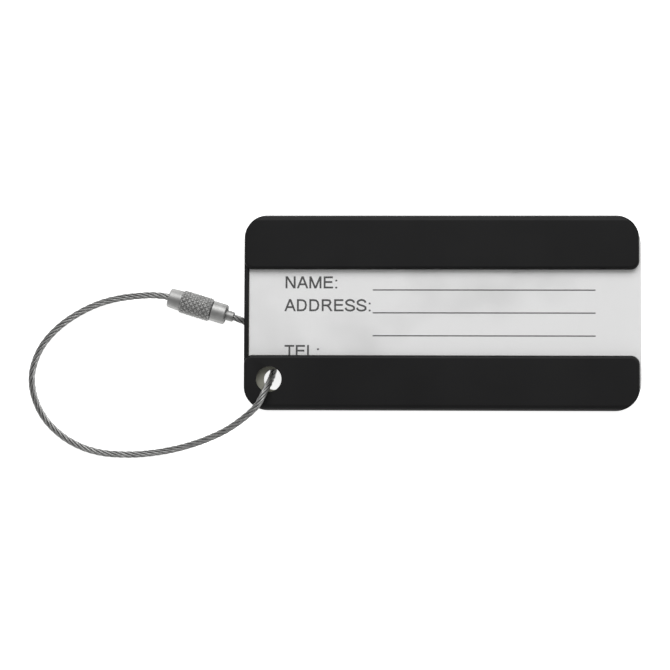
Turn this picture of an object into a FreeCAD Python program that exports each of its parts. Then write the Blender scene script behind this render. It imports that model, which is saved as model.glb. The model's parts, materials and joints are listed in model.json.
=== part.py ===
import FreeCAD, Part
import Sketcher
import math
import os

# Luggage tag: a folded aluminium case that holds a paper card behind a clear window, on a steel
# cable loop that a screw clasp closes.
#
# Millimetres, +Z up. The tag lies face up on a table. The origin is on the table under the centre of
# the case, +X runs along the case towards its open end, and +Y points to the top of the card. The cable
# passes under the left end of the case and holds it up, so the case, card and window share one tilted
# placement.

Vector = FreeCAD.Vector
Rotation = FreeCAD.Rotation

# ------------------------------------------------------------------ driving dimensions

DIMENSIONS = [
    # case
    ("case_length", 80.0, "length of the folded case, along X"),
    ("case_width", 39.7, "width over the two folded edges, along Y"),
    ("case_depth", 2.8, "thickness over the back and the lips"),
    ("sheet", 0.8, "thickness of the aluminium sheet"),
    ("bend_radius", 1.2, "outside radius of the two long folds"),
    ("corner_radius", 5.0, "outline radius of the case's four corners"),
    ("upper_lip", 11.1, "width of the lip that folds over the top of the card"),
    ("lower_lip", 11.2, "width of the lip that folds over the bottom of the card"),
    ("lip_corner", 1.8, "corner radius at the free edge of each lip"),
    ("wall_gap", 0.1, "clearance between the end wall and the lips above it"),
    ("wall_bend", 0.7, "outside radius of the end wall's bend"),
    ("hole_inset", 6.3, "from the bottom edge to the centre of the cable holes"),
    ("front_hole_inset", 5.1, "from the left end to the centre of the lip's hole"),
    ("front_hole", 2.6, "radius of the hole in the lower lip"),
    ("back_hole_inset", 6.1, "from the left end to the centre of the back's hole"),
    ("back_hole", 2.1, "radius of the hole in the back"),
    ("lift", 2.2, "height of the case's left end above the table"),
    # card and window
    ("insert_width", 37.2, "width of the card and of the window"),
    ("insert_corner", 4.5, "corner radius of the card and of the window"),
    ("insert_gap", 0.06, "clearance above the window, and between it and the card"),
    ("end_gap", 0.2, "clearance between the end wall and the card"),
    ("card_length", 79.4, "length of the paper card"),
    ("card_thickness", 0.3, "thickness of the paper card"),
    ("window_length", 79.55, "length of the clear window"),
    ("window_thickness", 0.45, "thickness of the clear window"),
    ("notch_inset", 4.6, "from the card's left end to the centre of its cable notch"),
    ("notch_radius", 3.4, "half the width of the cable notch"),
    # cable and clasp, whose pieces are turned about the clasp's own +X axis
    ("cable_radius", 0.7, "radius of the steel cable"),
    ("clasp_angle", -17.1, "heading of the clasp's axis in plan, in degrees from +X"),
    ("neck_radius", 2.1, "radius of the nut's smooth neck"),
    ("neck_length", 2.6, "length of the nut's smooth neck"),
    ("neck_bore", 1.05, "radius of the bore that the cable runs through"),
    ("grip_radius", 2.4, "radius of the nut's knurled grip"),
    ("grip_length", 6.5, "length of the nut's knurled grip"),
    ("thread_radius", 1.5, "radius of the nut's threaded bore"),
    ("thread_play", 0.05, "radial clearance of the stud in the nut's thread"),
    ("thread_length", 2.0, "engaged length of the stud"),
    ("chamber_radius", 1.3, "radius of the chamber that the retaining ferrule sits in"),
    ("shoulder", 1.7, "from the nut's left end to the shoulder in its bore"),
    ("seam", 0.15, "gap between the nut and the collar when the clasp is closed"),
    ("collar_radius", 2.08, "radius of the threaded sleeve's collar"),
    ("collar_length", 3.0, "length of the threaded sleeve's collar"),
    ("mouth_radius", 1.62, "radius of the recess in the collar's right end"),
    ("mouth_depth", 1.1, "depth of the recess in the collar's right end"),
    ("turned_edge", 0.25, "chamfer on the outer edges of the turned pieces"),
    ("stop_ferrule_radius", 1.15, "radius of the ferrule that keeps the nut on the cable"),
    ("stop_ferrule_length", 3.0, "length of the ferrule that keeps the nut on the cable"),
    ("stop_ferrule_play", 0.03, "radial clearance of the cable in that ferrule"),
    ("stop_ferrule_gap", 0.2, "clearance between that ferrule and the shoulder in the nut"),
    ("crimp_radius", 1.05, "radius of the ferrule crimped in the collar"),
    ("crimp_seat", 1.2, "length of the crimped ferrule held in the collar"),
    ("crimp_proud", 1.6, "length of the crimped ferrule that stands out of the collar"),
    ("crimp_depth", 1.9, "depth of the crimped ferrule's blind bore, which the cable fills"),
]

doc = FreeCAD.newDocument("luggage_tag")
dims = doc.addObject("Spreadsheet::Sheet", "dims")
for row, (alias, value, meaning) in enumerate(DIMENSIONS, start=1):
    dims.set(f"A{row}", alias)
    dims.set(f"B{row}", str(value))
    dims.set(f"C{row}", meaning)
    dims.setAlias(f"B{row}", alias)
doc.recompute()


def size(expression):
    """The value in millimetres of an expression in the sheet's dimensions."""
    return float(dims.evalExpression(expression))


# ------------------------------------------------------------------ sketches and features

def new_sketch(body, name, plane_role, height=None):
    """An empty sketch on one of the body's origin planes, raised along its normal by an expression."""
    plane = next(f for f in body.Origin.OriginFeatures if f.Role == plane_role)
    sketch = body.newObject("Sketcher::SketchObject", name)
    sketch.AttachmentSupport = [(plane, "")]
    sketch.MapMode = "FlatFace"
    if height:
        sketch.setExpression("AttachmentOffset.Base.z", height)
    return sketch


def bind_distance(sketch, kind, geometry, point, expression):
    """Hold one coordinate of a sketch point at an expression, measured from the sketch's origin."""
    index = sketch.addConstraint(
        Sketcher.Constraint(kind, -1, 1, geometry, point, size(expression))
    )
    sketch.setExpression(f"Constraints[{index}]", expression)


def add_polygon(sketch, corners):
    """A closed outline through corners that are given as pairs of expressions."""
    points = [Vector(size(x), size(y), 0) for x, y in corners]
    count = len(points)
    first = sketch.GeometryCount
    for i in range(count):
        sketch.addGeometry(Part.LineSegment(points[i], points[(i + 1) % count]))
    for i in range(count):
        following = first + (i + 1) % count
        sketch.addConstraint(Sketcher.Constraint("Coincident", first + i, 2, following, 1))
    for i, (x, y) in enumerate(corners):
        bind_distance(sketch, "DistanceX", first + i, 1, x)
        bind_distance(sketch, "DistanceY", first + i, 1, y)


def add_circle(sketch, x, y, radius):
    """A circle whose centre and radius are expressions."""
    centre = Vector(size(x), size(y), 0)
    circle = sketch.addGeometry(Part.Circle(centre, Vector(0, 0, 1), size(radius)))
    bind_distance(sketch, "DistanceX", circle, 3, x)
    bind_distance(sketch, "DistanceY", circle, 3, y)
    index = sketch.addConstraint(Sketcher.Constraint("Radius", circle, size(radius)))
    sketch.setExpression(f"Constraints[{index}]", radius)


def rectangle(left, right, low, high):
    return [(left, low), (right, low), (right, high), (left, high)]


def new_feature(body, kind, name, **properties):
    """A PartDesign feature with its expressions bound, checked for having changed the solid."""
    before = body.Shape.Volume if body.Tip else 0.0
    feature = body.newObject(f"PartDesign::{kind}", name)
    expressions = properties.pop("bind", {})
    for key, value in properties.items():
        setattr(feature, key, value)
    for key, expression in expressions.items():
        feature.setExpression(key, expression)
    doc.recompute()
    if abs(body.Shape.Volume - before) < 1e-4:
        raise RuntimeError(f"{body.Name}.{name} changed nothing")
    return feature


def edges_where(body, test):
    """The names of the straight edges of a body's tip whose ends pass a test."""
    names = []
    for i, edge in enumerate(body.Tip.Shape.Edges, start=1):
        if edge.Curve.TypeId == "Part::GeomLine":
            start, end = edge.Vertexes[0].Point, edge.Vertexes[-1].Point
            if test(start, end):
                names.append(f"Edge{i}")
    return names


def fillet(body, name, radius, test):
    new_feature(
        body, "Fillet", name, Base=(body.Tip, edges_where(body, test)), bind={"Radius": radius}
    )


def near(a, b):
    return abs(a - b) < 1e-4


def runs_along(start, end, axis):
    """Whether an edge is parallel to the named axis."""
    across = {"x": "yz", "y": "xz", "z": "xy"}[axis]
    return all(near(getattr(start, c), getattr(end, c)) for c in across)


# ------------------------------------------------------------------ case

def make_folded_sheet():
    """The sheet with its two long edges folded to the front and its left end folded up, cut square."""
    body = doc.addObject("PartDesign::Body", "folded_sheet")
    left, right = "-dims.case_length / 2", "dims.case_length / 2"
    low, high = "-dims.case_width / 2", "dims.case_width / 2"

    blank = new_sketch(body, "blank_outline", "XY_Plane")
    add_polygon(blank, rectangle(left, right, low, high))
    new_feature(body, "Pad", "blank", Profile=blank, bind={"Length": "dims.case_depth"})
    fillet(body, "outside_bends", "dims.bend_radius", lambda a, b: runs_along(a, b, "x"))

    section = new_sketch(body, "channel_section", "YZ_Plane")
    half_channel = "(dims.case_width / 2 - dims.sheet)"
    add_polygon(
        section,
        rectangle(f"-{half_channel}", half_channel, "dims.sheet", "dims.case_depth - dims.sheet"),
    )
    new_feature(body, "Pocket", "channel", Profile=section, Type="ThroughAll", Midplane=True)
    inner_side = size(half_channel)
    fillet(
        body,
        "inside_bends",
        "dims.bend_radius - dims.sheet",
        lambda a, b: runs_along(a, b, "x") and near(abs(a.y), inner_side),
    )

    opening = new_sketch(body, "opening_outline", "XY_Plane", height="dims.case_depth")
    upper_edge = "dims.case_width / 2 - dims.upper_lip"
    lower_edge = "-(dims.case_width / 2 - dims.lower_lip)"
    add_polygon(
        opening, rectangle("-dims.case_length", "dims.case_length", lower_edge, upper_edge)
    )
    new_feature(
        body, "Pocket", "opening", Profile=opening, Type="Length", bind={"Length": "dims.sheet * 1.5"}
    )
    lip_edges = (size(upper_edge), size(lower_edge))
    fillet(
        body,
        "lip_corners",
        "dims.lip_corner",
        lambda a, b: runs_along(a, b, "z") and any(near(a.y, y) for y in lip_edges),
    )

    wall = new_sketch(body, "wall_outline", "XY_Plane")
    half_wall = "(dims.case_width / 2 - dims.corner_radius)"
    add_polygon(wall, rectangle(left, f"{left} + dims.sheet", f"-{half_wall}", half_wall))
    new_feature(
        body,
        "Pad",
        "end_wall",
        Profile=wall,
        bind={"Length": "dims.case_depth - dims.sheet - dims.wall_gap"},
    )
    wall_face = size(left)
    fillet(
        body,
        "wall_bend",
        "dims.wall_bend",
        lambda a, b: runs_along(a, b, "y") and near(a.x, wall_face) and near(a.z, 0.0),
    )

    hole_y = "-dims.case_width / 2 + dims.hole_inset"
    front = new_sketch(body, "front_hole_outline", "XY_Plane", height="dims.case_depth")
    add_circle(front, f"{left} + dims.front_hole_inset", hole_y, "dims.front_hole")
    new_feature(
        body, "Pocket", "front_hole", Profile=front, Type="Length", bind={"Length": "dims.sheet * 1.5"}
    )
    back = new_sketch(body, "back_hole_outline", "XY_Plane", height="dims.sheet")
    add_circle(back, f"{left} + dims.back_hole_inset", hole_y, "dims.back_hole")
    new_feature(
        body, "Pocket", "back_hole", Profile=back, Type="Length", bind={"Length": "dims.sheet * 1.5"}
    )
    return body


def make_outline():
    """A plate with the case's rounded outline, which trims the folded sheet's corners."""
    body = doc.addObject("PartDesign::Body", "outline")
    outline = new_sketch(body, "outline_sketch", "XY_Plane")
    half_length, half_width = "dims.case_length / 2", "dims.case_width / 2"
    add_polygon(outline, rectangle(f"-{half_length}", half_length, f"-{half_width}", half_width))
    new_feature(body, "Pad", "outline_plate", Profile=outline, bind={"Length": "dims.case_depth"})
    fillet(body, "outline_corners", "dims.corner_radius", lambda a, b: runs_along(a, b, "z"))
    return body


def make_shell():
    shell = doc.addObject("Part::Common", "shell")
    shell.Base = make_folded_sheet()
    shell.Tool = make_outline()
    return shell


# ------------------------------------------------------------------ card and window

def make_insert(name, length, thickness, height):
    """A thin sheet in the case's channel, with a notch at its left end that clears the cable."""
    body = doc.addObject("PartDesign::Body", name)
    left = "(-dims.case_length / 2 + dims.sheet + dims.end_gap)"
    half_width = "dims.insert_width / 2"
    outline = new_sketch(body, f"{name}_outline", "XY_Plane", height=height)
    add_polygon(outline, rectangle(left, f"{left} + {length}", f"-{half_width}", half_width))
    new_feature(body, "Pad", f"{name}_sheet", Profile=outline, bind={"Length": thickness})
    fillet(body, f"{name}_corners", "dims.insert_corner", lambda a, b: runs_along(a, b, "z"))

    notch_x = f"{left} + dims.notch_inset"
    notch_y = "(-dims.case_width / 2 + dims.hole_inset)"
    above = f"{height} + 2 * {thickness}"
    through = {"Length": f"4 * {thickness}"}
    slot = new_sketch(body, f"{name}_slot", "XY_Plane", height=above)
    sides = (f"{notch_y} - dims.notch_radius", f"{notch_y} + dims.notch_radius")
    add_polygon(slot, rectangle("-dims.case_length", notch_x, *sides))
    new_feature(body, "Pocket", f"{name}_notch", Profile=slot, Type="Length", bind=dict(through))
    end = new_sketch(body, f"{name}_slot_end", "XY_Plane", height=above)
    add_circle(end, notch_x, notch_y, "dims.notch_radius")
    new_feature(body, "Pocket", f"{name}_notch_end", Profile=end, Type="Length", bind=dict(through))
    return body


# ------------------------------------------------------------------ turned pieces of the clasp

GRIP_END = "(dims.neck_length + dims.grip_length)"
COLLAR_START = f"({GRIP_END} + dims.seam)"
CLASP_END = f"({COLLAR_START} + dims.collar_length)"
CRIMP_START = f"({CLASP_END} - dims.mouth_depth - dims.crimp_seat)"


def make_turned(name, profile):
    """A piece turned about X from a closed half section of (x, radius) expressions."""
    body = doc.addObject("PartDesign::Body", name)
    section = new_sketch(body, f"{name}_section", "XY_Plane")
    add_polygon(section, profile)
    axis = (section, ["H_Axis"])
    new_feature(body, "Revolution", f"{name}_turning", Profile=section, ReferenceAxis=axis, Angle=360.0)
    return body


def make_knurled_nut():
    thread_start = f"{GRIP_END} - dims.thread_length - dims.turned_edge"
    return make_turned(
        "knurled_nut",
        [
            ("0", "dims.neck_bore"),
            ("0", "dims.neck_radius - dims.turned_edge"),
            ("dims.turned_edge", "dims.neck_radius"),
            ("dims.neck_length", "dims.neck_radius"),
            ("dims.neck_length", "dims.grip_radius - dims.turned_edge"),
            ("dims.neck_length + dims.turned_edge", "dims.grip_radius"),
            (f"{GRIP_END} - dims.turned_edge", "dims.grip_radius"),
            (GRIP_END, "dims.grip_radius - dims.turned_edge"),
            (GRIP_END, "dims.thread_radius"),
            (thread_start, "dims.thread_radius"),
            (thread_start, "dims.chamber_radius"),
            ("dims.shoulder", "dims.chamber_radius"),
            ("dims.shoulder", "dims.neck_bore"),
        ],
    )


def make_threaded_sleeve():
    stud_radius = "(dims.thread_radius - dims.thread_play)"
    stud_start = f"{GRIP_END} - dims.thread_length"
    return make_turned(
        "threaded_sleeve",
        [
            (stud_start, "0"),
            (stud_start, f"{stud_radius} - dims.turned_edge"),
            (f"{stud_start} + dims.turned_edge", stud_radius),
            (COLLAR_START, stud_radius),
            (COLLAR_START, "dims.collar_radius"),
            (f"{CLASP_END} - dims.turned_edge", "dims.collar_radius"),
            (CLASP_END, "dims.collar_radius - dims.turned_edge"),
            (CLASP_END, "dims.mouth_radius"),
            (f"{CLASP_END} - dims.mouth_depth", "dims.mouth_radius"),
            (f"{CLASP_END} - dims.mouth_depth", "dims.crimp_radius"),
            (CRIMP_START, "dims.crimp_radius"),
            (CRIMP_START, "0"),
        ],
    )


def ferrule_outside(start, end, radius):
    """The outer side of a ferrule's half section, with both edges broken."""
    edge = "dims.turned_edge / 2"
    return [
        (start, f"{radius} - {edge}"),
        (f"{start} + {edge}", radius),
        (f"{end} - {edge}", radius),
        (end, f"{radius} - {edge}"),
    ]


def make_stop_ferrule():
    start = "(dims.shoulder + dims.stop_ferrule_gap)"
    end = f"({start} + dims.stop_ferrule_length)"
    bore = "dims.cable_radius + dims.stop_ferrule_play"
    outside = ferrule_outside(start, end, "dims.stop_ferrule_radius")
    return make_turned("stop_ferrule", [(start, bore), *outside, (end, bore)])


def make_crimp_ferrule():
    end = f"({CLASP_END} + dims.crimp_proud)"
    bore_start = f"({end} - dims.crimp_depth)"
    outside = ferrule_outside(CRIMP_START, end, "dims.crimp_radius")
    bore = [(end, "dims.cable_radius"), (bore_start, "dims.cable_radius"), (bore_start, "0")]
    return make_turned("crimp_ferrule", [(CRIMP_START, "0"), *outside, *bore])


# ------------------------------------------------------------------ cable

# From the crimped ferrule, under the left end of the case, up through its holes, over the lower lip,
# round the loop on the table and into the nut.
CABLE_ROUTE = [
    Vector(-44.03, -0.3, 2.42),
    Vector(-41.4, -1.11, 2.42),
    Vector(-39.24, -2.11, 0.92),
    Vector(-35.54, -5.26, 0.8),
    Vector(-34.16, -8.38, 0.75),
    Vector(-33.91, -10.5, 0.75),
    Vector(-34.34, -12.95, 1.68),
    Vector(-34.68, -14.35, 4.64),
    Vector(-35.64, -16.68, 6.72),
    Vector(-36.94, -19.26, 7.06),
    Vector(-40.24, -22.04, 6.42),
    Vector(-44.17, -24.5, 5.2),
    Vector(-50.55, -26.93, 2.7),
    Vector(-57.18, -28.39, 0.8),
    Vector(-63.81, -29.03, 0.75),
    Vector(-71.04, -28.48, 0.75),
    Vector(-77.34, -25.67, 0.75),
    Vector(-82.31, -20.66, 0.75),
    Vector(-84.49, -13.8, 0.75),
    Vector(-82.83, -7.5, 0.75),
    Vector(-78.78, -2.65, 0.75),
    Vector(-73.15, 0.99, 0.75),
    Vector(-67.47, 3.02, 1.2),
    Vector(-60.22, 3.77, 2.25),
    Vector(-56.43, 3.52, 2.42),
    Vector(-54.71, 2.99, 2.42),
    Vector(-51.55, 2.01, 2.42),
]
ARC_SHARE = 0.45  # of the shorter run beside a corner, taken up by the corner's arc on each side


def round_corners(route):
    """Straight runs joined by tangent arcs, with each arc's radius and the length of the whole path."""
    edges = []
    radii = []
    position = route[0]
    for before, corner, after in zip(route, route[1:], route[2:]):
        incoming, outgoing = corner - before, after - corner
        half_turn = incoming.getAngle(outgoing) / 2
        tangent = ARC_SHARE * min(incoming.Length, outgoing.Length)
        radius = tangent / math.tan(half_turn)
        incoming.normalize()
        outgoing.normalize()
        start, end = corner - incoming * tangent, corner + outgoing * tangent
        inward = (outgoing - incoming).normalize()
        middle = corner + inward * (radius / math.cos(half_turn) - radius)
        edges.append(Part.LineSegment(position, start).toShape())
        edges.append(Part.Arc(start, middle, end).toShape())
        radii.append(radius)
        position = end
    edges.append(Part.LineSegment(position, route[-1]).toShape())
    return Part.Wire(edges), radii


def make_cable():
    path, radii = round_corners(CABLE_ROUTE)
    radius = size("dims.cable_radius")
    direction = CABLE_ROUTE[1] - CABLE_ROUTE[0]
    section = Part.Wire(Part.Circle(CABLE_ROUTE[0], direction, radius).toShape())
    cable = doc.addObject("Part::Feature", "cable")
    cable.Shape = path.makePipeShell([section], True, False)
    cable.Placement = FreeCAD.Placement()
    expected = math.pi * radius**2 * path.Length
    ratio = cable.Shape.Volume / expected
    print(f"cable: length {path.Length:.1f} mm, volume over section times length {ratio:.4f}")
    print("cable arc radii:", " ".join(f"{r:.1f}" for r in radii))
    return cable


# ------------------------------------------------------------------ assembly

def place_on_case(piece):
    """Tilt a piece of the case so that its right end rests on the table and its left end is lifted."""
    piece.Placement = FreeCAD.Placement(Vector(0, 0, 0), Rotation(Vector(0, 1, 0), 1.0))
    piece.setExpression("Placement.Base.z", "dims.lift / 2")
    piece.setExpression("Placement.Rotation.Angle", "asin(dims.lift / dims.case_length)")


# The left end of the nut, on the clasp's axis.
CLASP_START = Vector(-55.47, 3.22, 2.42)


def place_on_clasp(piece):
    """Lay a turned piece on the clasp's axis."""
    piece.Placement = FreeCAD.Placement(CLASP_START, Rotation(Vector(0, 0, 1), 1.0))
    piece.setExpression("Placement.Rotation.Angle", "dims.clasp_angle")


window_height = "(dims.case_depth - dims.sheet - dims.insert_gap - dims.window_thickness)"
card_height = f"({window_height} - dims.insert_gap - dims.card_thickness)"
case_pieces = [
    make_shell(),
    make_insert("card", "dims.card_length", "dims.card_thickness", card_height),
    make_insert("window", "dims.window_length", "dims.window_thickness", window_height),
]
clasp_pieces = [
    make_knurled_nut(),
    make_threaded_sleeve(),
    make_stop_ferrule(),
    make_crimp_ferrule(),
]
for piece in case_pieces:
    place_on_case(piece)
for piece in clasp_pieces:
    place_on_clasp(piece)
pieces = [*case_pieces, *clasp_pieces, make_cable()]
doc.recompute()

# ------------------------------------------------------------------ checks and export

for item in doc.Objects:
    if "Invalid" in item.State or "Error" in item.State:
        raise RuntimeError(f"{item.Label} failed: {item.State}")
for piece in pieces:
    if piece.Shape.isNull() or not piece.Shape.isValid():
        raise RuntimeError(f"{piece.Label} has no valid shape")

os.makedirs("parts", exist_ok=True)
for piece in pieces:
    piece.Shape.exportStep(os.path.join("parts", f"{piece.Label}.step"))
    print(f"{piece.Label}: {len(piece.Shape.Solids)} solid, {piece.Shape.Volume:.1f} mm3")
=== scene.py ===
import json
import math

import bmesh
import bpy
import numpy as np
from mathutils import Matrix, Vector


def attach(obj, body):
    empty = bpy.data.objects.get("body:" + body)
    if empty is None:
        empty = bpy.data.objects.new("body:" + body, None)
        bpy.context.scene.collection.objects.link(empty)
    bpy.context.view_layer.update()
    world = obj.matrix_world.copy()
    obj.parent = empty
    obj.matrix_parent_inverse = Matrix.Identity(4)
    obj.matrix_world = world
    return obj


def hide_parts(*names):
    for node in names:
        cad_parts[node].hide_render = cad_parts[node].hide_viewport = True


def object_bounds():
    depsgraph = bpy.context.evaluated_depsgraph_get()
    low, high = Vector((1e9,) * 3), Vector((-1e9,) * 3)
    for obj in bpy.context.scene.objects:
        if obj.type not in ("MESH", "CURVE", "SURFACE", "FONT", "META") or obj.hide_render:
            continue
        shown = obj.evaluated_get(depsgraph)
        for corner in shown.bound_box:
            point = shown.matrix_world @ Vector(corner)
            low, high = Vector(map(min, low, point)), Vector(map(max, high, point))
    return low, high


# Luggage tag: folded black case, paper card, clear window, twisted steel cable and its screw clasp.
# Metres, in the row frame. Case pieces are built in the case's own tilted frame and clasp pieces about
# the clasp's own +X axis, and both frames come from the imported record.

MM = 0.001

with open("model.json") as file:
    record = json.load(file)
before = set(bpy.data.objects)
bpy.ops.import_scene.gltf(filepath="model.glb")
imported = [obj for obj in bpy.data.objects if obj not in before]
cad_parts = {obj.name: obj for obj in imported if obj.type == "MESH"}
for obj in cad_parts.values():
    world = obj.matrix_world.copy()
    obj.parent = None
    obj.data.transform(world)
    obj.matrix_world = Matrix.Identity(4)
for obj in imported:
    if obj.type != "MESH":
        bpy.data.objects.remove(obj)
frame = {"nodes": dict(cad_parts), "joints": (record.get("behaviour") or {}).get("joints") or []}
joints = {joint["name"]: joint for joint in frame["joints"]}
cad_low, cad_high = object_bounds()


def axes_matrix(along, across, up, origin):
    """The frame whose X, Y and Z run along three unit directions."""
    rotation = Matrix((along, across, up)).transposed().to_4x4()
    return Matrix.Translation(origin) @ rotation


def case_matrix():
    """The case's frame: +X towards its open end, +Z out of its front, origin under its centre."""
    along = Vector(joints["card_slide"]["axis"]).normalized()
    across = Vector((0, 1, 0))
    up = along.cross(across)
    lowest = min(vertex.co.dot(up) for vertex in frame["nodes"]["shell"].data.vertices)
    return axes_matrix(along, across, up, Vector((0, 0, lowest / up.z)))


def clasp_matrix():
    """The clasp's frame: +X along its axis towards the case, origin at the nut's left end."""
    along = -Vector(joints["nut_turn"]["axis"]).normalized()
    up = Vector((0, 0, 1))
    return axes_matrix(along, up.cross(along), up, Vector(joints["nut_turn"]["pos_m"]))


CASE = case_matrix()
CLASP = clasp_matrix()


def local_box(node, matrix):
    """Lowest and highest corner of a CAD node in one of the two frames."""
    inverse = matrix.inverted()
    corners = np.array([inverse @ vertex.co for vertex in frame["nodes"][node].data.vertices])
    return Vector(corners.min(0)), Vector(corners.max(0))


case_low, case_high = local_box("shell", CASE)
card_top = local_box("card", CASE)[1].z
nut_high = local_box("knurled_nut", CLASP)[1]
sleeve_low, sleeve_high = local_box("threaded_sleeve", CLASP)
crimp_low, crimp_high = local_box("crimp_ferrule", CLASP)
stop_low, stop_high = local_box("stop_ferrule", CLASP)


# ------------------------------------------------------------------ camera

def add_camera():
    """Almost straight down, a little from the card's lower edge and a little from the open end."""
    centre = (cad_low + cad_high) / 2
    aside, ahead, height = 0.6 * MM, 0.35 * MM, 3 * MM
    target = Vector((centre.x + aside, centre.y + ahead, height))
    lean_x, lean_y = math.radians(3.38), math.radians(3.61)
    distance = 0.43
    view_width = 0.13602
    back = Vector((math.sin(lean_x), -math.sin(lean_y), 1))
    back.z = math.sqrt(1 - back.x**2 - back.y**2)
    right = Vector((1, 0, 0))
    right = (right - back * right.dot(back)).normalized()
    data = bpy.data.cameras.new("camera")
    data.sensor_width = 36
    data.lens = data.sensor_width * distance / view_width
    data.clip_start = 0.01
    data.clip_end = 10
    camera = bpy.data.objects.new("camera", data)
    camera.matrix_world = axes_matrix(right, back.cross(right), back, target + back * distance)
    bpy.context.scene.collection.objects.link(camera)
    bpy.context.scene.camera = camera


add_camera()


# ------------------------------------------------------------------ meshes

def new_piece(name, mesh, matrix, body, slot, *materials):
    """Place a mesh in a frame, give it its materials and let it ride a body."""
    piece = bpy.data.objects.new(name, mesh)
    bpy.context.scene.collection.objects.link(piece)
    piece.matrix_world = matrix
    for material in materials:
        mesh.materials.append(material)
    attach(piece, body)
    return piece


def mesh_of(name, vertices, faces, smooth=True):
    """A mesh from plain lists of points and faces."""
    mesh = bpy.data.meshes.new(name)
    mesh.from_pydata([tuple(v) for v in vertices], [], faces)
    mesh.update()
    mesh.polygons.foreach_set("use_smooth", [smooth] * len(mesh.polygons))
    return mesh


def grid_faces(rings, sides, close_rings=False):
    """Quads of a tube whose rings have the same number of sides."""
    faces = []
    for i in range(rings if close_rings else rings - 1):
        following = (i + 1) % rings
        for j in range(sides):
            k = (j + 1) % sides
            faces.append((i * sides + j, i * sides + k, following * sides + k, following * sides + j))
    return faces


def rounded(profile, radius, steps=4, share=0.45):
    """A closed outline whose corners become small arcs, each one using up to a share of its two sides."""
    points = [np.array(p, float) for p in profile]
    outline = []
    for i, corner in enumerate(points):
        back = points[i - 1] - corner
        forward = points[(i + 1) % len(points)] - corner
        cut = min(radius, share * np.linalg.norm(back), share * np.linalg.norm(forward))
        start = corner + back / np.linalg.norm(back) * cut
        end = corner + forward / np.linalg.norm(forward) * cut
        for k in range(steps + 1):
            t = k / steps
            outline.append((1 - t) ** 2 * start + 2 * t * (1 - t) * corner + t * t * end)
    return outline


def stations(start, end, steps, radius):
    """Evenly spaced (x, radius) points, close enough together for a shape to be carved along them."""
    return [(start + (end - start) * k / steps, radius) for k in range(steps + 1)]


def turned(name, profile, sides, carve, edge=0.05 * MM):
    """A closed (x, radius) outline turned about +X, where carve(x, angle, radius) gives the radius."""
    outline = rounded(profile, edge)
    vertices = []
    for x, radius in outline:
        for j in range(sides):
            angle = 2 * math.pi * j / sides
            carved = carve(x, angle, radius)
            vertices.append((x, carved * math.cos(angle), carved * math.sin(angle)))
    return mesh_of(name, vertices, grid_faces(len(outline), sides, close_rings=True))


# ------------------------------------------------------------------ cable

# The route's control points, from the crimped ferrule under the case, up through its holes, over the
# lower lip, round the loop and into the nut.
ROUTE = [
    (-0.04403, -0.0003, 0.00242),
    (-0.0414, -0.00111, 0.00242),
    (-0.03924, -0.00211, 0.00092),
    (-0.03554, -0.00526, 0.0008),
    (-0.03416, -0.00838, 0.00075),
    (-0.03391, -0.0105, 0.00075),
    (-0.03434, -0.01295, 0.00168),
    (-0.03468, -0.01435, 0.00464),
    (-0.03564, -0.01668, 0.00672),
    (-0.03694, -0.01926, 0.00706),
    (-0.04024, -0.02204, 0.00642),
    (-0.04417, -0.0245, 0.0052),
    (-0.05055, -0.02693, 0.0027),
    (-0.05718, -0.02839, 0.0008),
    (-0.06381, -0.02903, 0.00075),
    (-0.07104, -0.02848, 0.00075),
    (-0.07734, -0.02567, 0.00075),
    (-0.08231, -0.02066, 0.00075),
    (-0.08449, -0.0138, 0.00075),
    (-0.08283, -0.0075, 0.00075),
    (-0.07878, -0.00265, 0.00075),
    (-0.07315, 0.00099, 0.00075),
    (-0.06747, 0.00302, 0.0012),
    (-0.06022, 0.00377, 0.00225),
    (-0.05643, 0.00352, 0.00242),
    (-0.05471, 0.00299, 0.00242),
    (-0.05155, 0.00201, 0.00242),
]
CABLE_RADIUS = 0.7 * MM
STRANDS = 6
STRAND_PITCH = 9.3 * MM
WIRES = 6
WIRE_PITCH = 4.2 * MM
WIRE_GROOVE = 0.11
POINTS_PER_WIRE = 3
RING_STEP = 0.16 * MM


def route_points():
    """Points along the smooth curve that the route's control points give."""
    curve = bpy.data.curves.new("cable_line", "CURVE")
    curve.dimensions = "3D"
    spline = curve.splines.new("NURBS")
    spline.points.add(len(ROUTE) - 1)
    for point, position in zip(spline.points, ROUTE):
        point.co = (*position, 1)
    spline.order_u = 3
    spline.use_endpoint_u = True
    spline.resolution_u = 24
    holder = bpy.data.objects.new("cable_line", curve)
    bpy.context.scene.collection.objects.link(holder)
    line = bpy.data.meshes.new_from_object(holder)
    points = np.array([vertex.co for vertex in line.vertices])
    bpy.data.objects.remove(holder)
    return points


def resample(points, step):
    """Evenly spaced points along a line, and how far along it each one lies."""
    lengths = np.linalg.norm(np.diff(points, axis=0), axis=1)
    along = np.concatenate([[0], np.cumsum(lengths)])
    count = int(round(along[-1] / step)) + 1
    places = np.linspace(0, along[-1], count)
    return places, np.stack([np.interp(places, along, points[:, i]) for i in range(3)], axis=1)


def turning_frames(points):
    """Two side directions at each point, carried along the curve without twist."""
    tangents = np.gradient(points, axis=0)
    tangents /= np.linalg.norm(tangents, axis=1)[:, None]
    side = np.cross(tangents[0], (0, 0, 1.0))
    side /= np.linalg.norm(side)
    sides = []
    for tangent in tangents:
        side = side - tangent * side.dot(tangent)
        side = side / np.linalg.norm(side)
        sides.append(side)
    sides = np.array(sides)
    return sides, np.cross(tangents, sides)


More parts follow.
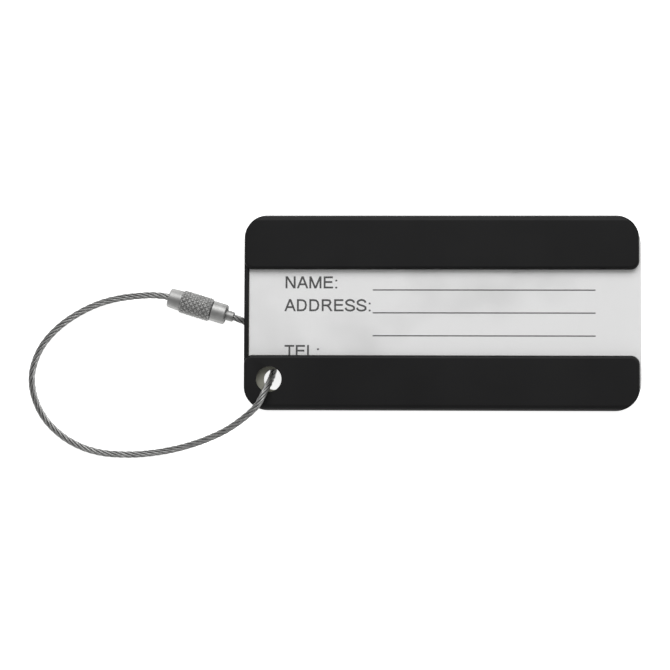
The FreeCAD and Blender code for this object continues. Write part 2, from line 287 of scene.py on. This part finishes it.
def strand_mesh():
    """Six strands laid right-handed round a core, each with the ridges of its own wires."""
    places, centres = resample(route_points(), RING_STEP)
    side, up = turning_frames(centres)
    strand_radius = CABLE_RADIUS / 3
    sides = WIRES * POINTS_PER_WIRE
    angles = np.arange(sides) * 2 * math.pi / sides
    vertices = []
    faces = []
    for strand in range(STRANDS + 1):
        is_core = strand == STRANDS
        offset = 0 if is_core else CABLE_RADIUS - strand_radius
        turn = 2 * math.pi * (strand / STRANDS + places / STRAND_PITCH)
        middle = centres + offset * (np.cos(turn)[:, None] * side + np.sin(turn)[:, None] * up)
        first = len(vertices)
        for i in range(len(places)):
            twist = -2 * math.pi * places[i] / WIRE_PITCH
            ridge = 1 - WIRE_GROOVE * (0.5 - 0.5 * np.cos(WIRES * (angles - twist)))
            across = np.cos(angles + turn[i])[:, None] * side[i] + np.sin(angles + turn[i])[:, None] * up[i]
            vertices.extend(middle[i] + strand_radius * ridge[:, None] * across)
        faces.extend(tuple(first + k for k in face) for face in grid_faces(len(places), sides))
        last = len(vertices) - sides
        faces.append(tuple(first + k for k in reversed(range(sides))))
        faces.append(tuple(last + k for k in range(sides)))
    return mesh_of("steel_cable", vertices, faces), centres


# ------------------------------------------------------------------ materials

def new_material(name):
    """A material with its node tree and its shader."""
    material = bpy.data.materials.new(name)
    material.use_nodes = True
    tree = material.node_tree
    return material, tree, tree.nodes["Principled BSDF"]


def noise(tree, scale, stretch=(1, 1, 1), detail=4.0, roughness=0.5):
    """Noise in the piece's own coordinates. scale is in features per metre."""
    coordinates = tree.nodes.new("ShaderNodeTexCoord")
    mapping = tree.nodes.new("ShaderNodeMapping")
    mapping.inputs["Scale"].default_value = stretch
    texture = tree.nodes.new("ShaderNodeTexNoise")
    texture.inputs["Scale"].default_value = scale
    texture.inputs["Detail"].default_value = detail
    texture.inputs["Roughness"].default_value = roughness
    tree.links.new(coordinates.outputs["Object"], mapping.inputs["Vector"])
    tree.links.new(mapping.outputs["Vector"], texture.inputs["Vector"])
    return texture.outputs["Fac"]


def ramp(tree, value, low, high, start=0.3, end=0.7):
    """Spread a value's range from start to end between two colours or two greys."""
    node = tree.nodes.new("ShaderNodeValToRGB")
    tree.links.new(value, node.inputs["Fac"])
    for element, place, colour in zip(node.color_ramp.elements, (start, end), (low, high)):
        element.position = place
        element.color = (*colour, 1) if hasattr(colour, "__len__") else (colour, colour, colour, 1)
    return node.outputs["Color"]


def vary(tree, shader, name, value, low, high, start=0.3, end=0.7):
    """Let a value drive one of the shader's inputs between two colours or two greys."""
    tree.links.new(ramp(tree, value, low, high, start, end), shader.inputs[name])


def add_bump(tree, shader, value, strength, distance, under=None):
    """Raise the surface by a value, on top of another bump where one is given."""
    bump = tree.nodes.new("ShaderNodeBump")
    bump.inputs["Strength"].default_value = strength
    bump.inputs["Distance"].default_value = distance
    tree.links.new(value, bump.inputs["Height"])
    if under:
        tree.links.new(under, bump.inputs["Normal"])
    tree.links.new(bump.outputs["Normal"], shader.inputs["Normal"])
    return bump.outputs["Normal"]


def anodised_material():
    material, tree, shader = new_material("black_anodised")
    grain = noise(tree, scale=900, stretch=(0.35, 12, 12), detail=6)
    cloud = noise(tree, scale=60, detail=3)
    pits = noise(tree, scale=14000, detail=2)
    vary(tree, shader, "Base Color", cloud, (0.0070, 0.0070, 0.0073), (0.0100, 0.0100, 0.0103))
    vary(tree, shader, "Roughness", grain, 0.46, 0.56)
    shader.inputs["Specular IOR Level"].default_value = 0.17
    brushed = add_bump(tree, shader, grain, strength=0.10, distance=0.02 * MM)
    add_bump(tree, shader, pits, strength=0.10, distance=0.01 * MM, under=brushed)
    return material


def bare_inside_material():
    material, tree, shader = new_material("bare_inside")
    grain = noise(tree, scale=900, stretch=(0.35, 12, 12), detail=6)
    cloud = noise(tree, scale=900, stretch=(1, 3, 1), detail=5)
    vary(tree, shader, "Base Color", cloud, (0.33, 0.33, 0.275), (0.375, 0.375, 0.315))
    vary(tree, shader, "Roughness", grain, 0.45, 0.6)
    shader.inputs["Metallic"].default_value = 0.3
    add_bump(tree, shader, grain, strength=0.15, distance=0.02 * MM)
    return material


def paper_material():
    material, tree, shader = new_material("card_paper")
    fibres = noise(tree, scale=2600, stretch=(1, 2.2, 1), detail=8, roughness=0.65)
    cloud = noise(tree, scale=45, detail=3)
    vary(tree, shader, "Base Color", cloud, 0.76, 0.86, start=0.36, end=0.50)
    vary(tree, shader, "Roughness", fibres, 0.75, 0.95)
    shader.inputs["Specular IOR Level"].default_value = 0.25
    add_bump(tree, shader, fibres, strength=0.22, distance=0.03 * MM)
    return material


def ink_material():
    material, tree, shader = new_material("printed_ink")
    speckle = noise(tree, scale=5200, detail=3)
    vary(tree, shader, "Base Color", speckle, (0.010, 0.010, 0.011), (0.022, 0.022, 0.023))
    vary(tree, shader, "Roughness", speckle, 0.6, 0.8)
    shader.inputs["Specular IOR Level"].default_value = 0.2
    return material


def window_material():
    material, tree, shader = new_material("clear_window")
    smear = noise(tree, scale=70, stretch=(1, 1.6, 1), detail=4)
    vary(tree, shader, "Roughness", smear, 0.05, 0.16)
    vary(tree, shader, "Base Color", smear, 0.84, 0.90)
    shader.inputs["Alpha"].default_value = 0.055
    shader.inputs["IOR"].default_value = 1.49
    add_bump(tree, shader, smear, strength=0.04, distance=0.1 * MM)
    return material


def painted_hollow_shade(tree, colour, share):
    """Painted shade: take a colour down to a share of itself where the surface is sunken, as the shade in a
    knurl's grooves.
    """
    shape = tree.nodes.new("ShaderNodeNewGeometry")
    multiply = tree.nodes.new("ShaderNodeVectorMath")
    multiply.operation = "MULTIPLY"
    shade = ramp(tree, shape.outputs["Pointiness"], share, 1.0, start=0.43, end=0.515)
    tree.links.new(colour, multiply.inputs[0])
    tree.links.new(shade, multiply.inputs[1])
    return multiply.outputs["Vector"]


def steel_material(name, low, high, rough, stretch, streak=700, hollow_shade=None):
    """Metal with fine lines. stretch squeezes the noise across the lines; the last argument paints shade
    into the hollows.
    """
    material, tree, shader = new_material(name)
    lines = noise(tree, scale=streak, stretch=stretch, detail=5)
    cloud = noise(tree, scale=700, detail=3)
    colour = ramp(tree, cloud, low, high)
    # painted shade in the sunken parts of the surface, such as the knurl's grooves
    if hollow_shade:
        colour = painted_hollow_shade(tree, colour, hollow_shade)
    tree.links.new(colour, shader.inputs["Base Color"])
    vary(tree, shader, "Roughness", lines, *rough)
    shader.inputs["Metallic"].default_value = 1.0
    add_bump(tree, shader, lines, strength=0.12, distance=0.02 * MM)
    return material


anodised = anodised_material()
bare_inside = bare_inside_material()
paper = paper_material()
ink = ink_material()
clear = window_material()
nut_steel = steel_material(
    "nut_steel",
    low=(0.34, 0.34, 0.335),
    high=(0.43, 0.43, 0.423),
    rough=(0.46, 0.58),
    stretch=(30, 1, 1),
    # shade painted into the knurl's grooves, down to 0.12 of the colour
    hollow_shade=0.12,
)
sleeve_steel = steel_material(
    "sleeve_steel",
    low=(0.32, 0.32, 0.315),
    high=(0.41, 0.41, 0.403),
    rough=(0.45, 0.57),
    stretch=(30, 1, 1),
)
ferrule_steel = steel_material(
    "ferrule_steel",
    low=(0.28, 0.28, 0.276),
    high=(0.37, 0.37, 0.363),
    rough=(0.48, 0.6),
    stretch=(1, 8, 8),
)
wire_steel = steel_material(
    "wire_steel",
    low=(0.24, 0.24, 0.237),
    high=(0.36, 0.36, 0.355),
    rough=(0.38, 0.52),
    stretch=(1, 1, 1),
    streak=2500,
)


# ------------------------------------------------------------------ folded and flat sheets

CREASE = math.radians(35)
WIDE_FACE = (5 * MM) ** 2
FACING_UP = 0.9999


def keep_flats_flat(mesh):
    """Wide flat faces keep their own normal, and the bent faces beside them start from it."""
    mesh.set_sharp_from_angle(angle=CREASE)
    normals = [corner.vector.copy() for corner in mesh.corner_normals]
    wide = {}
    for polygon in mesh.polygons:
        if polygon.area > WIDE_FACE and abs(polygon.normal.z) > FACING_UP:
            for vertex in polygon.vertices:
                wide[vertex] = polygon.normal.copy()
    for polygon in mesh.polygons:
        for loop, vertex in zip(polygon.loop_indices, polygon.vertices):
            if vertex in wide and normals[loop].angle(wide[vertex]) < CREASE:
                normals[loop] = wide[vertex]
    mesh.normals_split_custom_set(normals)


def softened_copy(name, node, least_bend, edge, segments):
    """A CAD node in the case's frame, with the edges that bend by more than least_bend rounded."""
    mesh = frame["nodes"][node].data.copy()
    mesh.materials.clear()
    mesh.name = name
    mesh.transform(CASE.inverted())
    work = bmesh.new()
    work.from_mesh(mesh)
    bmesh.ops.remove_doubles(work, verts=work.verts, dist=0.002 * MM)
    bmesh.ops.dissolve_limit(work, angle_limit=math.radians(1), verts=work.verts, edges=work.edges)
    sharp = [e for e in work.edges if len(e.link_faces) == 2 and e.calc_face_angle() > least_bend]
    bmesh.ops.bevel(
        work, geom=sharp, offset=edge, segments=segments, profile=0.5, affect="EDGES", clamp_overlap=True
    )
    for face in work.faces:
        face.smooth = True
    work.to_mesh(mesh)
    work.free()
    return mesh


def make_case():
    """The folded sheet with its edges broken, black outside and bare inside the channel."""
    mesh = softened_copy("folded_case", "shell", math.radians(40), edge=0.1 * MM, segments=3)
    sheet = 0.8 * MM
    hair = 0.016 * MM
    skin = sheet - hair
    endways = 0.25
    broken_edge = (0.4 * MM) ** 2
    for face in mesh.polygons:
        x, y, z = face.center
        inside = x > case_low.x + skin and abs(y) < case_high.y - skin and skin < z < case_high.z - skin
        rim = abs(face.normal.x) > endways or face.area < broken_edge
        face.material_index = 1 if inside and not rim else 0
    case = new_piece("folded_case", mesh, CASE, "case", "case_metal", anodised, bare_inside)
    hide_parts("shell")
    keep_flats_flat(mesh)
    return case


def insert_mesh(name, node, edge):
    """A thin sheet that slides in the case, its edges softened and its two faces flat."""
    mesh = softened_copy(name, node, math.radians(60), edge=edge, segments=2)
    keep_flats_flat(mesh)
    return mesh


def make_card():
    mesh = insert_mesh("paper_card", "card", edge=0.04 * MM)
    card = new_piece("paper_card", mesh, CASE, "card", "card_paper", paper)
    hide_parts("card")
    return card


def make_window():
    mesh = insert_mesh("clear_window", "window", edge=0.08 * MM)
    window = new_piece("clear_window", mesh, CASE, "window", "window_plastic", clear)
    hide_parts("window")
    return window


# ------------------------------------------------------------------ print on the card

# Printed rows are 4.66 mm apart, with the first baseline 4.95 mm above the card's middle.
ROW_PITCH = 4.66 * MM
FIRST_BASELINE = 4.95 * MM
TEXT_LEFT = -31.85 * MM
CAP_HEIGHT = 2.46 * MM
LETTER_STRETCH = 1.015
RULE_LEFT = -13.9 * MM
RULE_RIGHT = 31.2 * MM
RULE_WIDTH = 0.24 * MM
RULE_DROP = 0.3 * MM
RULES = 3
INK_LIFT = 0.006 * MM
# Each heading and its row. The lower lip covers the foot of the last one.
HEADINGS = [("NAME:", 0), ("ADDRESS:", 1), ("TEL:", 3)]

# Plain capitals as pen strokes, all in cap heights: the advance, then each stroke's points.
STROKE = 0.155
BAR_HIGH, BAR_LOW = 1 - STROKE / 2, STROKE / 2
LETTERS = {
    "A": (0.93, [[(0.075, 0), (0.465, 1)], [(0.465, 1), (0.855, 0)], [(0.20, 0.34), (0.73, 0.34)]]),
    "D": (1.01, [[(0.17, 1), (0.17, 0)], [(0.11, BAR_HIGH), (0.42, BAR_HIGH), (0.62, 0.90), (0.77, 0.77),
                 (0.83, 0.5), (0.77, 0.23), (0.62, 0.10), (0.42, BAR_LOW), (0.11, BAR_LOW)]]),
    "E": (0.93, [[(0.17, 1), (0.17, 0)], [(0.17, BAR_HIGH), (0.84, BAR_HIGH)], [(0.17, 0.53), (0.80, 0.53)],
                 [(0.17, BAR_LOW), (0.86, BAR_LOW)]]),
    "L": (0.78, [[(0.16, 1), (0.16, 0)], [(0.16, BAR_LOW), (0.72, BAR_LOW)]]),
    "M": (1.16, [[(0.165, 0), (0.165, 1)], [(0.171, 1), (0.58, 0)], [(0.58, 0), (0.989, 1)],
                 [(0.995, 0), (0.995, 1)]]),
    "N": (1.01, [[(0.165, 0), (0.165, 1)], [(0.18, 1), (0.815, 0)], [(0.83, 0), (0.83, 1)]]),
    "R": (1.01, [[(0.17, 1), (0.17, 0)], [(0.11, BAR_HIGH), (0.56, BAR_HIGH), (0.73, 0.90), (0.80, 0.73),
                 (0.73, 0.56), (0.56, 0.49), (0.17, 0.49)], [(0.50, 0.49), (0.66, 0.38), (0.90, 0)]]),
    "S": (0.93, [[(0.09, 0.30), (0.14, 0.16), (0.28, 0.08), (0.47, 0.055), (0.66, 0.09), (0.79, 0.19),
                 (0.78, 0.34), (0.66, 0.43), (0.30, 0.54), (0.16, 0.63), (0.14, 0.78), (0.26, 0.90),
                 (0.46, 0.945), (0.64, 0.91), (0.75, 0.82), (0.78, 0.71)]]),
    "T": (0.85, [[(0.03, BAR_HIGH), (0.82, BAR_HIGH)], [(0.425, 1), (0.425, 0)]]),
    ":": (0.39, [[(0.19, 0), (0.19, 0.14)], [(0.19, 0.58), (0.19, 0.72)]]),
}


def pen_stroke(points):
    """A flat ribbon along some points, its ends cut level where they meet the foot or head line."""
    points = np.array(points, float)
    legs = np.diff(points, axis=0)
    legs /= np.linalg.norm(legs, axis=1)[:, None]
    sides = np.stack([-legs[:, 1], legs[:, 0]], axis=1)
    outline = []
    for i, point in enumerate(points):
        before, after = sides[max(i - 1, 0)], sides[min(i, len(legs) - 1)]
        mitre = (before + after) / (1 + before.dot(after))
        if i in (0, len(legs)) and point[1] in (0, 1):
            mitre = np.array((1 / mitre[0], 0))
        outline += [point + STROKE / 2 * mitre, point - STROKE / 2 * mitre]
    return outline, [(2 * i, 2 * i + 1, 2 * i + 3, 2 * i + 2) for i in range(len(legs))]


def make_print():
    """The headings and the ruled lines, as ink that lies just above the card."""
    vertices = []
    faces = []
    level = card_top + INK_LIFT
    stretch = CAP_HEIGHT * LETTER_STRETCH

    def add(points, polygons):
        first = len(vertices)
        vertices.extend((x, y, level) for x, y in points)
        faces.extend(tuple(first + k for k in polygon) for polygon in polygons)

    for words, row in HEADINGS:
        baseline = FIRST_BASELINE - row * ROW_PITCH
        left = TEXT_LEFT
        for letter in words:
            advance, strokes = LETTERS[letter]
            for stroke in strokes:
                points, polygons = pen_stroke(stroke)
                add([(left + x * stretch, baseline + y * CAP_HEIGHT) for x, y in points], polygons)
            left += advance * stretch
    for row in range(RULES):
        y = FIRST_BASELINE - row * ROW_PITCH - RULE_DROP
        low, high = y - RULE_WIDTH / 2, y + RULE_WIDTH / 2
        add([(RULE_LEFT, low), (RULE_RIGHT, low), (RULE_RIGHT, high), (RULE_LEFT, high)], [(0, 1, 2, 3)])
    mesh = mesh_of("card_print", vertices, faces, smooth=False)
    return new_piece("card_print", mesh, CASE, "card", "card_paper", ink)


# ------------------------------------------------------------------ clasp

NECK_LENGTH = 2.6 * MM
NECK_RADIUS = 2.1 * MM
NECK_TAPER = 0.12 * MM
NECK_BORE = 1.05 * MM
NUT_SHOULDER = 1.7 * MM
CHAMBER_RADIUS = 1.3 * MM
NUT_THREAD = 1.5 * MM
NUT_GROOVE = 0.1 * MM
THREAD_LENGTH = 2.25 * MM
THREAD_PITCH = 0.5 * MM
STUD_GROOVE = 0.24 * MM
KNURLS = 15
SIDES_PER_KNURL = 12
KNURL_ANGLE = math.radians(42)
KNURL_DEPTH = 0.22 * MM
KNURL_SHARPNESS = 1.35
# Profile points this near a radius lie on it.
TOUCHING = 0.01 * MM


def triangle_wave(value):
    """0 at whole numbers and 1 half way between them."""
    return 1 - abs(2 * (value - math.floor(value)) - 1)


def thread_wave(x, angle):
    """The rise of a right-handed thread's flank, from 0 to 1 and back in one pitch."""
    return triangle_wave(x / THREAD_PITCH - angle / (2 * math.pi))


def knurl(x, angle, grip_radius):
    """The depth cut below the grip's radius by two crossing sets of grooves."""
    around = KNURLS * angle / (2 * math.pi)
    along = KNURLS * x * math.tan(KNURL_ANGLE) / (2 * math.pi * grip_radius)
    ridge = min(triangle_wave(around + along), triangle_wave(around - along))
    return KNURL_DEPTH * (1 - min(1.0, KNURL_SHARPNESS * ridge))


def make_nut():
    """The half that turns: smooth neck, knurled grip and inside thread."""
    length = nut_high.x
    grip = nut_high.z
    slope = 0.3 * MM
    step = 0.02 * MM
    lead_in = 0.12 * MM
    run_out = 0.05 * MM
    barely = 0.003 * MM
    least_cut = 0.35
    chamfer_length, chamfer_height = 0.2 * MM, 0.15 * MM
    neck_end = NECK_RADIUS - NECK_TAPER
    thread_end = length - THREAD_LENGTH
    profile = [(0, NECK_BORE), (0, neck_end - chamfer_height), (chamfer_length, neck_end)]
    profile += [(NECK_LENGTH, NECK_RADIUS), (NECK_LENGTH + step, grip - slope)]
    profile += stations(NECK_LENGTH + slope, length - slope, steps=72, radius=grip)
    profile += [(length, grip - slope), (length, NUT_THREAD + lead_in)]
    profile += stations(length - lead_in, thread_end, steps=40, radius=NUT_THREAD)
    profile += [(thread_end, CHAMBER_RADIUS), (NUT_SHOULDER, CHAMBER_RADIUS), (NUT_SHOULDER, NECK_BORE)]

    def carve(x, angle, radius):
        if radius > grip - slope + barely and x > NECK_LENGTH:
            fade = min(1.0, (x - NECK_LENGTH) / slope, (length - x) / slope)
            return radius - knurl(x, angle, grip) * max(least_cut, fade)
        if abs(radius - NUT_THREAD) < TOUCHING and x > thread_end + run_out:
            return radius + NUT_GROOVE * thread_wave(x, angle)
        return radius

    mesh = turned("knurled_nut_piece", profile, KNURLS * SIDES_PER_KNURL, carve)
    nut = new_piece("knurled_nut_piece", mesh, CLASP, "nut", "clasp_steel", nut_steel)
    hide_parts("knurled_nut")
    return nut


def make_sleeve():
    """The half fixed to the cable: threaded stud, collar and the mouth that the crimped end sits in."""
    start, end = sleeve_low.x, sleeve_high.x
    near_axis = 0.02 * MM
    bevel = 0.25 * MM
    gap, relief, clearance = 0.15 * MM, 0.12 * MM, 0.05 * MM
    collar = sleeve_high.z
    collar_start = nut_high.x + gap
    collar_edge = 0.06 * MM
    stud = NUT_THREAD - clearance
    stud_root = stud - STUD_GROOVE
    thread_end = collar_start - relief
    mouth_radius, mouth_depth = 1.62 * MM, 1.1 * MM
    mouth_edge_length, mouth_edge_height = 0.08 * MM, 0.05 * MM
    mouth_floor = end - mouth_depth
    seat = crimp_high.z
    profile = [(start, near_axis), (start, stud_root - bevel)]
    profile += stations(start + bevel, thread_end, steps=60, radius=stud)
    profile += [(collar_start, stud_root), (collar_start, collar - collar_edge)]
    profile += [(collar_start + collar_edge, collar), (end - bevel, collar), (end, collar - bevel)]
    profile += [(end, mouth_radius + mouth_edge_height), (end - mouth_edge_length, mouth_radius)]
    profile += [(mouth_floor, mouth_radius), (mouth_floor, seat)]
    profile += [(crimp_low.x, seat), (crimp_low.x, near_axis)]

    def carve(x, angle, radius):
        if abs(radius - stud) < TOUCHING and x < collar_start:
            return radius - STUD_GROOVE * (1 - thread_wave(x, angle))
        return radius

    mesh = turned("collar_sleeve", profile, sides=120, carve=carve)
    sleeve = new_piece("collar_sleeve", mesh, CLASP, "loop", "clasp_steel", sleeve_steel)
    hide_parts("threaded_sleeve")
    return sleeve


def make_ferrule(name, node, low, high, body, inner):
    """A drawn tube squeezed in two bands where the crimping tool held it."""
    outer = high.z
    edge = 0.12 * MM
    squeeze = 0.05 * MM
    waves_along = 1.25
    jaws = 6
    length = high.x - low.x
    profile = [(low.x, inner), (low.x, outer - edge)]
    profile += stations(low.x + edge, high.x - edge, steps=30, radius=outer)
    profile += [(high.x, outer - edge), (high.x, inner)]

    def carve(x, angle, radius):
        if radius < outer - edge / 2:
            return radius
        band = max(0.0, math.sin(2 * math.pi * waves_along * (x - low.x) / length)) ** 2
        return radius - squeeze * band * (0.5 + 0.5 * math.cos(jaws * angle))

    mesh = turned(name, profile, sides=96, carve=carve)
    ferrule = new_piece(name, mesh, CLASP, body, "ferrule_steel", ferrule_steel)
    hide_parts(node)
    return ferrule


nut = make_nut()
sleeve = make_sleeve()
crimp = make_ferrule("crimped_end", "crimp_ferrule", crimp_low, crimp_high, "loop", CABLE_RADIUS)
stop_bore = CABLE_RADIUS + 0.03 * MM
stop = make_ferrule("retaining_ferrule", "stop_ferrule", stop_low, stop_high, "cable_end", stop_bore)

cable_mesh, cable_path = strand_mesh()
cable = new_piece("steel_cable", cable_mesh, Matrix.Identity(4), "loop", "cable_steel", wire_steel)
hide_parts("cable")

make_case()
make_card()
make_print()
make_window()


# ------------------------------------------------------------------ floor and light

def make_floor():
    """A pale table that gives off some light of its own, a hair below the tag."""
    material, tree, shader = new_material("studio_floor")
    speckle = noise(tree, scale=300, detail=3)
    vary(tree, shader, "Base Color", speckle, 0.90, 0.93)
    shader.inputs["Roughness"].default_value = 0.9
    shader.inputs["Specular IOR Level"].default_value = 0.1
    shader.inputs["Emission Color"].default_value = (1, 1, 1, 1)
    shader.inputs["Emission Strength"].default_value = 0.8
    side = 2.0
    gap = 0.02 * MM
    corners = [(-side, -side, 0), (side, -side, 0), (side, side, 0), (-side, side, 0)]
    mesh = mesh_of("floor", corners, [(0, 1, 2, 3)], smooth=False)
    mesh.materials.append(material)
    floor = bpy.data.objects.new("floor", mesh)
    bpy.context.scene.collection.objects.link(floor)
    floor.location.z = -gap


def add_area_light(name, position, width, height, power):
    """A soft rectangle of light that faces the tag."""
    data = bpy.data.lights.new(name, "AREA")
    data.shape = "RECTANGLE"
    data.size = width
    data.size_y = height
    data.energy = power
    light = bpy.data.objects.new(name, data)
    light.location = position
    light.rotation_mode = "QUATERNION"
    light.rotation_quaternion = (-Vector(position)).to_track_quat("-Z", "Y")
    bpy.context.scene.collection.objects.link(light)


def add_lights():
    add_area_light("key", (0.1, 0.76, 0.80), width=1.2, height=0.75, power=11.0)
    add_area_light("fill", (-0.5, -0.8, 0.5), width=1.0, height=0.5, power=1.0)
    world = bpy.data.worlds.new("studio")
    world.use_nodes = True
    background = world.node_tree.nodes["Background"]
    background.inputs["Color"].default_value = (1, 1, 1, 1)
    background.inputs["Strength"].default_value = 0.32
    bpy.context.scene.world = world
    bpy.context.scene.view_settings.view_transform = "Standard"


make_floor()
add_lights()
